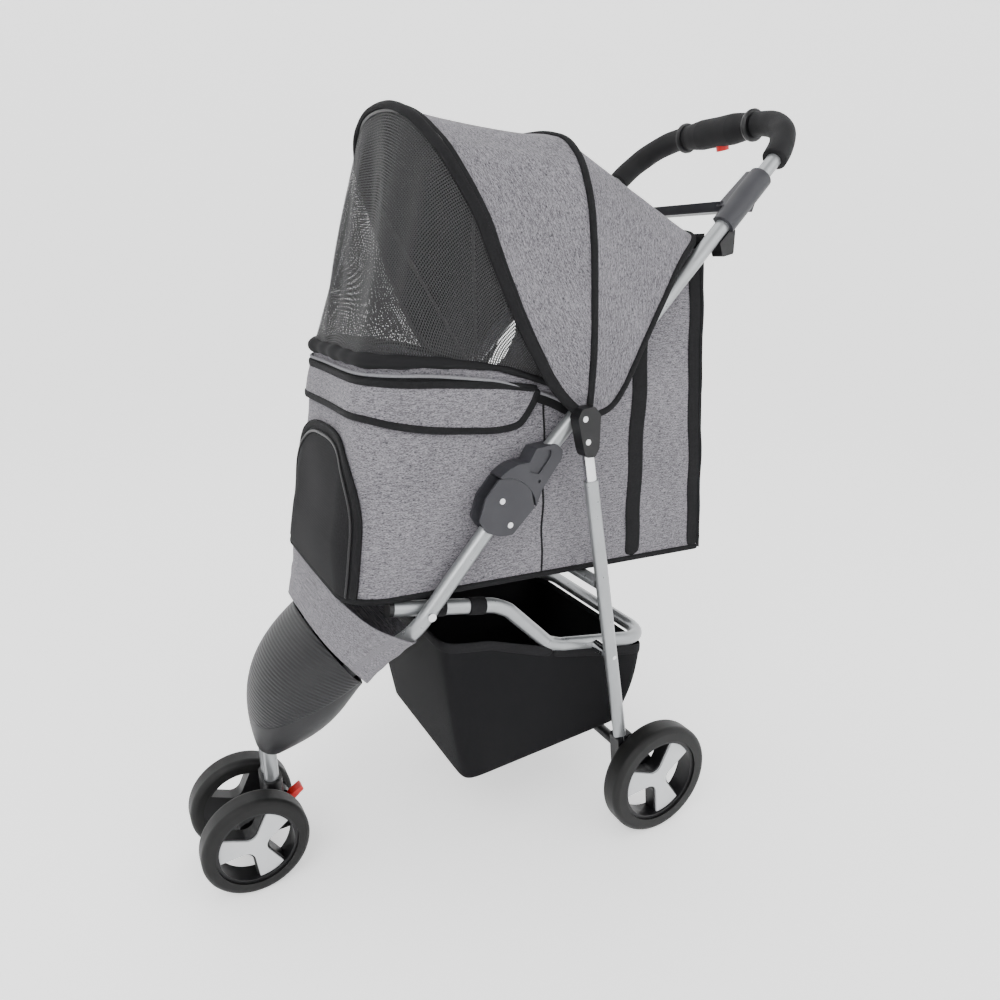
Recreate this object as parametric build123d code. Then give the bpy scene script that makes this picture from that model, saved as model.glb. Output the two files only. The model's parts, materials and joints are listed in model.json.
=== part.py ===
from build123d import *
import os
from math import cos, hypot, radians, sin

# A folding three-wheel pet stroller. Millimetres, +Z up, the front faces -Y and the left side is +X.
# The origin is on the ground, under the middle of the whole stroller.

# ---- driving sizes ----
run_gap = 0.05             # radial clearance of a pin or an axle that turns
fit_gap = 0.02             # radial clearance of a pin or a tube end that is fixed
soft_gap = 0.3             # between a soft piece and its neighbours

tube_d = 19.0              # steel tubes of the frame
tube_wall = 1.5
frame_x = 160.0            # plane of the handle and front tubes, from the middle
base_x = 140.0             # plane of the base tube
cheek = 3.0                # wall of the latch beside the tube
cheek_gap = 0.4            # between the latch cheeks and the tube

latch_y, latch_z = -51.3, 500.0          # hinge of the handle on the front frame
handle_angle = 45.36                     # slope of the handle tubes
handle_length = 646.0                    # from the latch hinge to the crossbar
handle_bend = 88.0
handle_fold = 150.0                      # how far the handle folds forward
front_angle = 49.0                       # slope of the front tubes
front_corner_y = -165.0                  # where the front tubes turn in to the stem
stem_y, stem_x = -316.0, 10.0            # the two tubes side by side above the caster
stem_top_z, stem_low_z = 205.0, 113.0
cap_x, cap_y, cap_z = 84.0, -222.0, 300.0   # where the front tubes enter the toe cap

leg_top_r = 146.0                        # leg bracket, along the handle from the latch hinge
leg_slope = 0.1694                       # how far the leg runs back for each mm down
leg_d, leg_thin_d = 18.0, 15.0
leg_joint_z = 529.0                      # the thin upper tube slides into the thick lower one
leg_end_z = 92.0
leg_gap = 0.3                            # between the legs and the latch cheeks
cross_z, cross_d = 384.0, 16.0

rear_wheel_r, rear_wheel_w = 81.0, 32.0
rear_axle_y = 174.2
rear_axle_r = 5.0
front_wheel_r, front_wheel_w = 68.0, 33.0
front_axle_y, front_wheel_x = -350.65, 46.4
front_axle_r = 4.0
wheel_gap = 0.5                          # between a wheel and what it turns beside

pivot_y, pivot_z = -146.0, 391.0         # base tube on the front tubes
base_rear_y, base_rear_z = 206.0, 262.0
pin_r = 3.0

cabin_half = 145.5                       # outer face of the side panels
cabin_wall = 3.0
floor_front_y, floor_front_z = -205.0, 410.0
floor_rear_y, floor_rear_z = 284.0, 388.0
hub_y, hub_z = 80.0, 609.0               # pivot of the canopy bows
bow_d = 4.4
front_bow_angle, front_bow_r, front_crown = 121.0, 391.0, 165.0
mid_bow_angle, mid_bow_r, mid_crown = 91.0, 318.0, 130.0
rear_edge_angle, rear_edge_r, rear_crown = 49.5, 262.0, 60.0
rim_angle, rim_r, rim_crown = 160.5, 281.0, 74.0
disc_t = 2.0
canopy_wall = 1.6

basket_half_top, basket_half_low = 147.0, 136.0
basket_wall = 2.0

tray_front_y, tray_rear_y = 271.0, 324.0
tray_floor_z, tray_rim_z = 844.0, 855.0
tray_sweep_r = 473.0                     # the tray passes over the canopy at this radius

# ---- worked out from them ----
tube_r = tube_d / 2
slot_half = tube_r + cheek_gap
latch_out_x = frame_x + slot_half + cheek
leg_x = latch_out_x + leg_gap + leg_d / 2
wheel_in_x = leg_x + leg_d / 2 + wheel_gap
rear_wheel_x = wheel_in_x + rear_wheel_w / 2
handle_dir = (cos(radians(handle_angle)), sin(radians(handle_angle)))
stack_mid_x = (cabin_half + frame_x - tube_r) / 2


def along_handle(run, off=0.0):
    """Point (y, z) at a run along the handle from the latch hinge; off is towards the front and up."""
    return (
        latch_y + run * handle_dir[0] - off * handle_dir[1],
        latch_z + run * handle_dir[1] + off * handle_dir[0],
    )


def along_front(run):
    """Point (y, z) at a run down the front tube from the latch hinge."""
    return latch_y - run * cos(radians(front_angle)), latch_z - run * sin(radians(front_angle))


leg_top_y, leg_top_z = along_handle(leg_top_r)


def leg_y(z):
    """Where the leg's centre line is at a height."""
    return leg_top_y + leg_slope * (leg_top_z - z)


front_corner_z = along_front((latch_y - front_corner_y) / cos(radians(front_angle)))[1]
base_points = [(-183.0, 397.5), (-48.0, 371.0), (-28.0, 360.0), (33.0, 297.0), (53.0, 289.0),
               (127.0, 276.0), (base_rear_y, base_rear_z)]
knee_z = 279.0
knee_y = leg_y(knee_z)                   # leg and base tube cross here


def floor_z(y):
    """Underside of the cabin floor at y."""
    share = (y - floor_front_y) / (floor_rear_y - floor_front_y)
    return floor_front_z + share * (floor_rear_z - floor_front_z)


# ---- small helpers ----
def both(shape):
    """The shape and its mirror image in the middle plane, as one group of separate solids."""
    return Compound(children=[shape, mirror(shape, about=Plane.YZ)])


def group(shapes):
    """Separate solids as one node."""
    return Compound(children=[s for shape in shapes for s in shape.solids()])


def plate(points, x0, x1, rounding=0.0, corners=None):
    """Outline of (y, z) points, thick from x0 to x1; corners names the points to round, or all."""
    face = make_face(Polyline(*points, close=True))
    if rounding:
        sharp = face.vertices()
        if corners is not None:
            near = [Vector(*points[i], 0) for i in corners]
            sharp = [v for v in sharp if min((Vector(v) - n).length for n in near) < 0.01]
        face = fillet(sharp, rounding)
    return extrude(Plane.YZ.offset(x0) * face, amount=x1 - x0)


def rod(radius, start, end):
    """A round bar between two points."""
    line = Vector(*end) - Vector(*start)
    return extrude(Plane(origin=start, z_dir=line) * Circle(radius), amount=line.length)


def cross_rod(radius, y, z, x0, x1):
    """A round bar along X."""
    return rod(radius, (x0, y, z), (x1, y, z))


def bent(points, bends, outer, wall=None):
    """A bar along a path with rounded corners, or a tube where it has a wall."""
    path = FilletPolyline(*points, radius=bends) if len(points) > 2 else Line(*points)
    section = Circle(outer / 2)
    if wall:
        section -= Circle(outer / 2 - wall)
    return sweep(Plane(origin=path @ 0, z_dir=path % 0) * section, path=path)


def save(name, shape):
    export_step(shape, f"parts/{name}.step")


# ---- front frame ----
front_tube_start = 26.0                  # clear of the handle's neck at the end of the fold
handle_tube_start = 34.0
knuckle_half = 5.0                       # the flat neck that lets the handle fold beside the front tube


def front_line(outer, wall=None):
    """The left front tube, or a solid bar along it."""
    top_y, top_z = along_front(front_tube_start)
    points = [
        (frame_x, top_y, top_z),
        (frame_x, front_corner_y, front_corner_z),
        (cap_x, cap_y, cap_z),
        (stem_x, stem_y, stem_top_z),
        (stem_x, stem_y, stem_low_z),
    ]
    return bent(points, [70.0, 60.0, 60.0], outer, wall)


def front_tube():
    hole = cross_rod(pin_r + fit_gap, pivot_y, pivot_z, frame_x - tube_d, frame_x + tube_d)
    return front_line(tube_d, tube_wall) - hole


def stem_socket():
    """Collar that the two stem tubes stand in; the swivel pin hangs below it."""
    collar = extrude(Plane.XY.offset(94.0) * Pos(0, stem_y) * SlotCenterToCenter(2 * stem_x + 2, tube_d + 7), 34)
    tubes = [rod(tube_r + fit_gap, (s * stem_x, stem_y, stem_low_z), (s * stem_x, stem_y, 140)) for s in (-1, 1)]
    pin_hole = rod(6.0 + fit_gap, (0, stem_y, 90), (0, stem_y, 108))
    return collar - tubes[0] - tubes[1] - pin_hole


def swivel_pin():
    return rod(6.0, (0, stem_y, 62.0), (0, stem_y, 108.0)) + rod(9.0, (0, stem_y, 90.2), (0, stem_y, 94.0))


def cap_section(y0, z0, y1, z1, half, square):
    """One section of the toe cap: from its front point to its rear point, with a half width."""
    middle = Vector(0, (y0 + y1) / 2, (z0 + z1) / 2)
    run = Vector(0, y1 - y0, z1 - z0)
    depth = run.length / 2
    plane = Plane(origin=middle, x_dir=(1, 0, 0), z_dir=Vector(1, 0, 0).cross(run))
    points = []
    for i in range(16):
        a = 2 * 3.14159265 * i / 16
        c, s = cos(a), sin(a)
        points.append((half * abs(c) ** square * (1 if c >= 0 else -1), depth * abs(s) ** square * (1 if s >= 0 else -1)))
    return plane * make_face(Spline(*points, periodic=True))


cap_stations = [                         # front y, z, rear y, z and half width of the toe cap, top to bottom
    (-256.0, 346.0, -196.0, 262.0, 104.0),
    (-308.0, 302.0, -216.0, 228.0, 90.0),
    (-331.0, 252.0, -246.0, 198.0, 70.0),
    (-333.0, 206.0, -276.0, 182.0, 48.0),
    (-329.0, 178.0, -294.0, 172.0, 30.0),
]


def toe_cap():
    """Moulded shell over the meeting of the front tubes, open at the top and around the stem."""
    outer = loft([cap_section(*s, 0.9) for s in cap_stations])
    wall = 3.0
    inner_sections = []
    for i, (y0, z0, y1, z1, half) in enumerate(cap_stations):
        run = hypot(y1 - y0, z1 - z0)
        dy, dz = (y1 - y0) / run * wall, (z1 - z0) / run * wall
        up = 1.0 if i == 0 else 0.0
        lift = Vector(0, 0.737, 0.676) * up * 0.5
        down = -2.0 if i == len(cap_stations) - 1 else 0.0
        inner_sections.append(cap_section(
            y0 + dy + lift.Y, z0 + dz + lift.Z + down, y1 - dy + lift.Y, z1 - dz + lift.Z + down,
            half - wall, 0.9))
    tubes = front_line(tube_d + 1.0)
    shell = outer - loft(inner_sections) - tubes - mirror(tubes, about=Plane.YZ)
    return max(shell.solids(), key=lambda s: s.volume)


gaiter_top = [(-236.0, 404.0), (-152.0, 350.0)]      # front and rear of its upper edge, under the cabin
gaiter_low = [(-257.0, 358.0), (-192.0, 266.0)]      # and of its lower edge, over the toe cap
gaiter_half_top, gaiter_half_low = 171.0, 108.0
gaiter_clear = [(-192.0, 398.0), (-100.0, 380.0)]    # room for the end of the base tube


def front_gaiter():
    """Fabric sleeve from the cabin's front to the toe cap, around the front tubes."""
    def section(y0, z0, y1, z1, half):
        middle = Vector(0, (y0 + y1) / 2, (z0 + z1) / 2)
        run = Vector(0, y1 - y0, z1 - z0)
        plane = Plane(origin=middle, x_dir=(1, 0, 0), z_dir=Vector(1, 0, 0).cross(run))
        face = Rectangle(2 * half, run.length).face()
        face = fillet(face.vertices().group_by(Axis.Y)[0], 60)
        return plane * fillet(face.vertices().group_by(Axis.Y)[-1], 28)
    wall = 2.5
    (top_y, top_z), (top_end_y, top_end_z) = gaiter_top
    (low_y, low_z), (low_end_y, low_end_z) = gaiter_low
    outer = loft([section(top_y, top_z, top_end_y, top_end_z, gaiter_half_top),
                  section(low_y, low_z, low_end_y, low_end_z, gaiter_half_low)])
    inner = loft([section(top_y + 2.6, top_z - 0.6, top_end_y - 1.6, top_end_z + 2.4, gaiter_half_top - wall),
                  section(low_y + 1.0, low_z - 4.0, low_end_y - 2.6, low_end_z + 1.0, gaiter_half_low - wall)])
    tubes = front_line(tube_d + 1.0)
    sleeve = outer - inner - tubes - mirror(tubes, about=Plane.YZ)
    base_room = rod(tube_r + 4.0, (base_x, *gaiter_clear[0]), (base_x, *gaiter_clear[1]))
    sleeve = sleeve - base_room - mirror(base_room, about=Plane.YZ)
    return max(sleeve.solids(), key=lambda s: s.volume)


latch_r = 44.0                           # the seam between latch body and collar is an arc about the hinge


def latch_body():
    """Fork at the top of a front tube: two cheeks, and a web that holds the tube's end."""
    outline = [(-84.0, 497.0), (-74.0, 482.0), (-57.0, 475.0), (-40.0, 474.0), (-10.0, 503.0),
               (-20.0, 552.0), (-47.0, 556.0), (-75.0, 524.0)]
    x0, x1 = frame_x - slot_half - cheek, latch_out_x
    body = plate(outline, x0, x1, 5.0, [0, 1, 2, 3])
    body &= cross_rod(latch_r, latch_y, latch_z, x0, x1)
    sweep_room = [(latch_y, latch_z)]
    first, last = 14.0, 213.0
    for i in range(9):
        a = radians(first + (last - first) * i / 8)
        sweep_room.append((latch_y + 90 * cos(a), latch_z + 90 * sin(a)))
    slot = plate(sweep_room, frame_x - slot_half, frame_x + slot_half)
    slot += cross_rod(tube_r + 1.0, latch_y, latch_z, frame_x - slot_half, frame_x + slot_half)
    y0, z0 = along_front(front_tube_start - 2)
    y1, z1 = along_front(90)
    tube = rod(tube_r + fit_gap, (frame_x, y0, z0), (frame_x, y1, z1))
    pin = cross_rod(4.0 + fit_gap, latch_y, latch_z, x0 + 1.0, x1 - 1.0)
    return body - slot - tube - pin - rivet_room(latch_rivet_spots, x1)


rivet_head_r, rivet_shank_r = 3.6, 2.0
latch_rivet_spots = [(-53.5, 517.5), (-43.0, 486.5)]


def rivet_room(spots, x, depth=2.2):
    """Holes for the short rivets in a wall whose outer face is at x."""
    room = None
    for y, z in spots:
        hole = cross_rod(rivet_shank_r + fit_gap, y, z, x - depth - fit_gap, x + 1)
        room = hole if room is None else room + hole
    return room


def rivets(spots, x, depth=2.2, head=0.25):
    """Rivets whose flat heads stand on a face at x."""
    made = []
    for y, z in spots:
        shank = cross_rod(rivet_shank_r, y, z, x - depth, x)
        made.append(shank + cross_rod(rivet_head_r, y, z, x, x + head))
    return made


# ---- handle ----
def handle_tube():
    start_y, start_z = along_handle(handle_tube_start)
    end_y, end_z = along_handle(handle_length)
    points = [
        (frame_x, start_y, start_z),
        (frame_x, end_y, end_z),
        (-frame_x, end_y, end_z),
        (-frame_x, start_y, start_z),
    ]
    return bent(points, [handle_bend, handle_bend], tube_d, tube_wall)


def handle_knuckle():
    """Plug in the end of a handle tube: a flat neck with the hinge eye."""
    neck = [along_handle(0, knuckle_half), along_handle(handle_tube_start, knuckle_half),
            along_handle(handle_tube_start, -knuckle_half), along_handle(0, -knuckle_half)]
    body = plate(neck, frame_x - 8.0, frame_x + 8.0)
    body += cross_rod(tube_r - 0.5, latch_y, latch_z, frame_x - 8.0, frame_x + 8.0)
    y0, z0 = along_handle(handle_tube_start)
    y1, z1 = along_handle(handle_tube_start + 18)
    body += rod(tube_r - tube_wall - fit_gap, (frame_x, y0, z0), (frame_x, y1, z1))
    return body - cross_rod(4.0 + run_gap, latch_y, latch_z, frame_x - 12, frame_x + 12)


def collar_outline():
    """Latch collar, as (run along the handle, offset) points from its seam up to its finger hook."""
    return [(20.0, -34.0), (54.0, -20.0), (97.0, -15.0), (105.0, -9.0), (105.0, 3.0), (84.0, 21.5),
            (66.0, 17.0), (56.0, 27.0), (44.0, 33.0), (30.0, 36.0)]


def latch_collar():
    """Sliding collar that locks the handle; a pocket in its outer face takes a finger."""
    points = [along_handle(*p) for p in collar_outline()]
    body = plate(points, frame_x - slot_half - cheek, latch_out_x, 4.0, [2, 3, 4, 5, 6, 7])
    body -= cross_rod(latch_r + soft_gap, latch_y, latch_z, 0, 300)
    y0, z0 = along_handle(0)
    y1, z1 = along_handle(200)
    body -= rod(tube_r + run_gap, (frame_x, y0, z0), (frame_x, y1, z1))
    pocket = [(57.0, 10.5), (66.0, 12.5), (83.0, 17.0), (97.0, 4.0), (88.0, -1.0), (64.0, -3.0)]
    pocket = [along_handle(*p) for p in pocket]
    body -= plate(pocket, latch_out_x - 2.4, latch_out_x + 1, 3.0)
    body -= rivet_room([collar_rivet], latch_out_x)
    return max(body.solids(), key=lambda s: s.volume)


collar_rivet = along_handle(58.0, -9.5)
foam_d = 32.0
grip_half = 62.0
foam_start = 566.0                       # run along the handle where the foam begins
tray_arm_start, tray_arm_end = 455.0, 537.0
tray_arm_r = 15.0


def foam():
    """Left foam sleeve, from above the tray arm round the bend to the grip."""
    y0, z0 = along_handle(foam_start - 60)
    y1, z1 = along_handle(handle_length)
    points = [(frame_x, y0, z0), (frame_x, y1, z1), (grip_half + 8, y1, z1)]
    sleeve = bent(points, [handle_bend], foam_d, (foam_d - tube_d) / 2 - fit_gap)
    y2, z2 = along_handle(foam_start)
    return sleeve - rod(foam_d, (frame_x, y0 - 9, z0 - 9), (frame_x, y2, z2))


def grip_parts():
    """Hand grip with a ribbed middle, its two end collars, and the room for the red button."""
    y, z = along_handle(handle_length)
    bore = cross_rod(tube_r + fit_gap, y, z, -200, 200)
    profile = [(0, 20.0), (30, 20.5), (44, 19.0), (54, 17.5), (grip_half - 0.5, 17.0)]
    outline = [(x, r) for x, r in profile] + [(grip_half - 0.5, 5.0), (0, 5.0)]
    half = revolve(make_face(Polyline(*outline, close=True)), Axis.X)
    half = Pos(0, y, z) * half
    grip = half + mirror(half, about=Plane.YZ) - bore
    ring = [(-0.5, 5), (-0.5, 19.5), (3, 21), (6, 21), (7.9, 19), (7.9, 5)]
    ring = Polyline(*[(grip_half + x, r) for x, r in ring], close=True)
    collar = Pos(0, y, z) * revolve(make_face(ring), Axis.X) - bore
    room = rod(button_r + soft_gap, (button_x, y + button_dir[0] * (tube_r + 1), z + button_dir[1] * (tube_r + 1)),
               (button_x, y + button_dir[0] * 30, z + button_dir[1] * 30))
    return grip - room, both(collar)


button_x, button_r = 5.0, 9.0
button_dir = (0.256, -0.967)             # down and slightly back
button_travel = 3.0


def grip_button():
    """Red release button under the grip."""
    y, z = along_handle(handle_length)
    low, high = tube_r + 1.0 + button_travel + 0.3, 25.5
    start = (button_x, y + button_dir[0] * low, z + button_dir[1] * low)
    end = (button_x, y + button_dir[0] * high, z + button_dir[1] * high)
    return rod(button_r, start, end)


def tray():
    """Shallow tray between the handle tubes; its ends run into two arms that wrap the tubes."""
    wall = 2.6
    outer = [(tray_front_y + 6, tray_floor_z - wall), (tray_rear_y - 5, tray_floor_z - wall),
             (tray_rear_y, tray_rim_z), (tray_front_y, tray_rim_z - 2)]
    inner = [(tray_front_y + 8, tray_floor_z), (tray_rear_y - 7, tray_floor_z),
             (tray_rear_y - 2, tray_rim_z + 5), (tray_front_y + 1.6, tray_rim_z + 5)]
    end_x = frame_x - tube_r - 1.5
    body = plate(outer, -end_x, end_x) - plate(inner, -end_x + 6, end_x - 6)
    for s in (-1, 1):
        body += rod(tray_arm_r, (s * frame_x, *along_handle(tray_arm_start)), (s * frame_x, *along_handle(tray_arm_end)))
        wing = [along_handle(474, 15), along_handle(tray_arm_end, 11), along_handle(tray_arm_end, -12),
                along_handle(517, -17.5), along_handle(503, -24)]
        x0, x1 = sorted((s * (end_x - 6), s * (frame_x - 2)))
        body += plate(wing, x0, x1)
    body -= cross_rod(tray_sweep_r, latch_y, latch_z, -frame_x + tube_r, frame_x - tube_r)
    for s in (-1, 1):
        body -= rod(tube_r + fit_gap, (s * frame_x, *along_handle(400)), (s * frame_x, *along_handle(600)))
    return max(body.solids(), key=lambda s: s.volume)


def tray_bracket():
    """Small box that clamps the tray to the tube, with a screw in its side."""
    y0, z0 = along_handle(441.0, -tube_r - 1)
    box = [(y0 - 8, z0 - 4), (y0 + 12, z0 + 16), (y0 + 16, z0 + 12), (y0 + 16, z0 - 16), (y0 - 2, z0 - 20)]
    body = plate(box, frame_x - 9, frame_x + 9, 3.0)
    body -= rod(tube_r + fit_gap, (frame_x, *along_handle(400)), (frame_x, *along_handle(560)))
    body -= rod(tray_arm_r + fit_gap, (frame_x, *along_handle(tray_arm_start - fit_gap)), (frame_x, *along_handle(560)))
    return max(body.solids(), key=lambda s: s.volume)


# ---- base: tube, floor, cabin, basket ----
def base_tube():
    half = [(base_x, y, z) for y, z in base_points]
    other = [(-x, y, z) for x, y, z in reversed(half)]
    tube = bent(half + other, [50, 30, 30, 50, 60, 45, 45, 60, 50, 30, 30, 50], tube_d, tube_wall)
    for y, z in ((pivot_y, pivot_z), (knee_y, knee_z)):
        tube -= cross_rod(pin_r + run_gap, y, z, -200, 200)
    return tube


def base_end_caps():
    """Black plugs in the front ends of the base tube."""
    (y0, z0), (y1, z1) = base_points[0], base_points[1]
    run = hypot(y1 - y0, z1 - z0)
    dy, dz = (y1 - y0) / run, (z1 - z0) / run
    head = rod(tube_r, (base_x, y0 - 6 * dy, z0 - 6 * dz), (base_x, y0, z0))
    plug = rod(tube_r - tube_wall - fit_gap, (base_x, y0, z0), (base_x, y0 + 12 * dy, z0 + 12 * dz))
    return both(head + plug)


def strap_loop(y):
    """Webbing loop that holds the cabin floor on the base tube at y."""
    (y0, z0), (y1, z1) = base_points[0], base_points[1]
    slope = (z1 - z0) / (y1 - y0)
    z = z0 + (y - y0) * slope
    plane = Plane(origin=(base_x, y, z), z_dir=(0, 1, slope))
    return extrude(plane * (Circle(tube_r + 1.6) - Circle(tube_r + fit_gap)), amount=11, both=True)


def floor_board():
    """Stiff board in the bottom of the cabin, with rounded front corners."""
    thick = 4.0
    front_y, rear_y = nose_stations[0][1] + cabin_wall + 1, floor_rear_y - 4.0
    points = [(front_y, floor_z(front_y) + 0.5), (rear_y, floor_z(rear_y) + 0.5),
              (rear_y, floor_z(rear_y) + thick), (front_y, floor_z(front_y) + thick)]
    half = cabin_half - cabin_wall - 1.0
    board = plate(points, -half, half)
    corners = board.edges().filter_by(Axis.Z).group_by(Axis.Y)[0]
    return fillet(corners, nose_stations[0][2] - cabin_wall)


nose_stations = [                        # height, front face y and corner radius of the cabin's nose
    (411.5, -236.0, 48.0),
    (470.0, -232.0, 66.0),
    (560.0, -212.0, 70.0),
    (625.0, -197.0, 70.0),
    (677.0, -188.0, 70.0),
]
side_top = [(-43.0, 664.0), (30.0, 640.0), (hub_y + 4, hub_z + 8), (132.0, 668.0), (190.0, 742.0), (236.0, 772.0)]


def cabin_side():
    """Fabric side panel, from the floor to the canopy seam."""
    points = [(front_y + corner, z) for z, front_y, corner in nose_stations] + side_top
    points += [(floor_rear_y - 4, floor_z(floor_rear_y) + 0.5)]
    body = plate(points, cabin_half - cabin_wall, cabin_half)
    return body - cross_rod(2.0 + fit_gap, hub_y, hub_z, cabin_half - 10, cabin_half + 10)


def nose_section(z, front_y, corner, inset, open_back):
    """Level section of the nose: a flat front with two round corners."""
    half, r = cabin_half - inset, corner - inset
    y0, y1 = front_y + inset, front_y + corner
    k = r * (1 - cos(radians(45)))
    edges = [ThreePointArc((-half, y1), (-half + k, y0 + k), (-half + r, y0)),
             Line((-half + r, y0), (half - r, y0)),
             ThreePointArc((half - r, y0), (half - k, y0 + k), (half, y1))]
    if open_back:
        edges += [Line((half, y1), (half, y1 + open_back)), Line((-half, y1 + open_back), (-half, y1))]
    edges += [Line((half, y1 + open_back), (-half, y1 + open_back))]
    return Pos(0, 0, z) * make_face(edges)


def cabin_front():
    """Front panel of the cabin: it bulges at the foot and leans back above."""
    outer = loft([nose_section(*s, 0.0, 0.0) for s in nose_stations], ruled=True)
    spread = [(z + (-1 if i == 0 else 1 if i == len(nose_stations) - 1 else 0), y, r)
              for i, (z, y, r) in enumerate(nose_stations)]
    return outer - loft([nose_section(*s, cabin_wall, 5.0) for s in spread], ruled=True)


def cabin_rear():
    """Flat rear panel with its zip band, between the side panels."""
    points = [(floor_rear_y, floor_z(floor_rear_y) + 0.5), (252.0, 797.0), (252.0 + cabin_wall, 797.0),
              (floor_rear_y + cabin_wall, floor_z(floor_rear_y) + 0.5)]
    return plate([(y + 0.3, z) for y, z in points], -cabin_half, cabin_half)


def rim_hoop():
    """Spring wire in the rim band: from one hub round the front of the cabin to the other."""
    half = cabin_half - cabin_wall - 4.0
    side = [(half, hub_y - 16, hub_z + 8), (half, -40, hub_z + 43), (half, -174, hub_z + 58)]
    other = [(-x, y, z) for x, y, z in reversed(side)]
    return bent(side + other, [200, 62, 62, 200], 5.0)


def basket_outline(inset):
    return [(-122.0 + inset, 330.0), (-90.0 + inset, 118.0 + inset), (130.0, 126.0 + inset),
            (168.0 - inset * 0.5, 138.0 + inset), (190.0 - inset, 182.0), (197.0 - inset, 248.0)]


def basket_solid(inset, rise):
    """Body between two side outlines, wider at the top."""
    ring = basket_outline(inset) + [(base_points[3][0] + 4, 286.0 + rise), (-4.0, 318.0 + rise)]
    top_z, low_z = 330.0, 118.0
    wide = plate(ring, -basket_half_top - 5, basket_half_top + 5)
    half_top, half_low = basket_half_top - inset, basket_half_low - inset
    slant = make_face(Polyline((-half_low, low_z - 10), (half_low, low_z - 10), (half_top, top_z + 20 + rise),
                               (-half_top, top_z + 20 + rise), close=True))
    wedge = extrude(Plane.XZ.offset(-260) * slant, amount=420)
    return wide & wedge


def basket():
    """Open-topped storage basket under the base tube."""
    outer = basket_solid(0.0, 0.0)
    inner = basket_solid(basket_wall, 30.0)
    body = outer - inner
    for s in (-1, 1):
        for (y0, z0), (y1, z1) in zip(base_points[1:], base_points[2:]):
            body -= rod(tube_r + 0.6, (s * base_x, y0, z0), (s * base_x, y1, z1))
            body -= Pos(s * base_x, y1, z1) * Sphere(tube_r + 0.6)
    body -= cross_rod(tube_r + 0.6, base_rear_y, base_rear_z, -200, 200)
    return max(body.solids(), key=lambda s: s.volume)


def knee_pin():
    """Pin through base tube and leg, with a shoulder between the two."""
    pin = cross_rod(pin_r, knee_y, knee_z, base_x - tube_r - 1, leg_x + leg_d / 2 - 0.2)
    return pin + cross_rod(8.0, knee_y, knee_z, base_x + tube_r + 0.2, leg_x - leg_d / 2 - 0.3)


def hub_pin():
    """Pivot of both canopy bows, with its head inside the cabin."""
    head = cross_rod(6.0, hub_y, hub_z, cabin_half - cabin_wall - 2.5, cabin_half - cabin_wall)
    return head + cross_rod(2.0, hub_y, hub_z, cabin_half - cabin_wall, frame_x - tube_r - 0.2)


# ---- canopy ----
hub_bar_end = 26.0


def bow_plane(angle):
    """Plane of a bow: X across, Y from the hub line outwards at the angle."""
    out = Vector(0, cos(radians(angle)), sin(radians(angle)))
    return Plane(origin=(0, hub_y, hub_z), x_dir=(1, 0, 0), z_dir=Vector(1, 0, 0).cross(out))


def bow_curve(reach, crown, half, start):
    """Arch from hub to hub: straight sides and a round top."""
    side = reach - crown
    left_side = Line((half, start), (half, side))
    left_top = Spline((half, side), (half * 0.76, side + crown * 0.76), (0, reach), tangents=[(0, 1), (-1, 0)])
    right_top = Spline((0, reach), (-half * 0.76, side + crown * 0.76), (-half, side), tangents=[(-1, 0), (0, -1)])
    return [left_side, left_top, right_top, Line((-half, side), (-half, start))]


def bow(angle, reach, crown, disc_x):
    """Spring-steel bow with a flat eye at each hub; disc_x is the inner face of the eye."""
    path = bow_plane(angle) * Wire([c.edge() for c in bow_curve(reach, crown, stack_mid_x, hub_bar_end - 2)])
    wire = sweep(Plane(origin=path @ 0, z_dir=path % 0) * Circle(bow_d / 2), path=path)
    end_y = hub_y + hub_bar_end * cos(radians(angle))
    end_z = hub_z + hub_bar_end * sin(radians(angle))
    ny, nz = -3.5 * sin(radians(angle)), 3.5 * cos(radians(angle))
    bar = [(hub_y + ny, hub_z + nz), (end_y + ny, end_z + nz), (end_y - ny, end_z - nz), (hub_y - ny, hub_z - nz)]
    eye = cross_rod(9.0, hub_y, hub_z, disc_x, disc_x + disc_t) + plate(bar, disc_x, disc_x + disc_t)
    eye -= cross_rod(2.0 + run_gap, hub_y, hub_z, disc_x - 1, disc_x + disc_t + 1)
    return wire + eye + mirror(eye, about=Plane.YZ)


def arch_face(angle, reach, crown, start):
    """Thin arch-shaped band across the canopy at an angle about the hub line."""
    half = stack_mid_x - 0.6
    outer = bow_curve(reach - 0.6, crown, half, start)
    inner = bow_curve(reach - 0.6 - canopy_wall, crown, half - canopy_wall, start)
    ends = [Line(outer[0] @ 0, inner[0] @ 0), Line(outer[3] @ 1, inner[3] @ 1)]
    return bow_plane(angle) * make_face([c.edge() for c in outer + inner + ends])


def sheet(first, second, share0, share1, start):
    """Canopy sheet stretched between two arches, each an angle, a reach and a crown."""
    faces = []
    for share in (share0, share1):
        angle, reach, crown = [a + share * (b - a) for a, b in zip(first, second)]
        faces.append(arch_face(angle, reach, crown, start))
    return loft(faces, ruled=True)


front_arch = (front_bow_angle, front_bow_r, front_crown)
mid_arch = (mid_bow_angle, mid_bow_r, mid_crown)
rear_arch = (rear_edge_angle, rear_edge_r, rear_crown)
rim_arch = (rim_angle, rim_r, rim_crown)


# ---- rear legs ----
def leg_point(z, x=None):
    return (leg_x if x is None else x, leg_y(z), z)


def leg_upper():
    return bent([leg_point(580.0), leg_point(leg_joint_z - 60)], None, leg_thin_d, 1.2)


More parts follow.
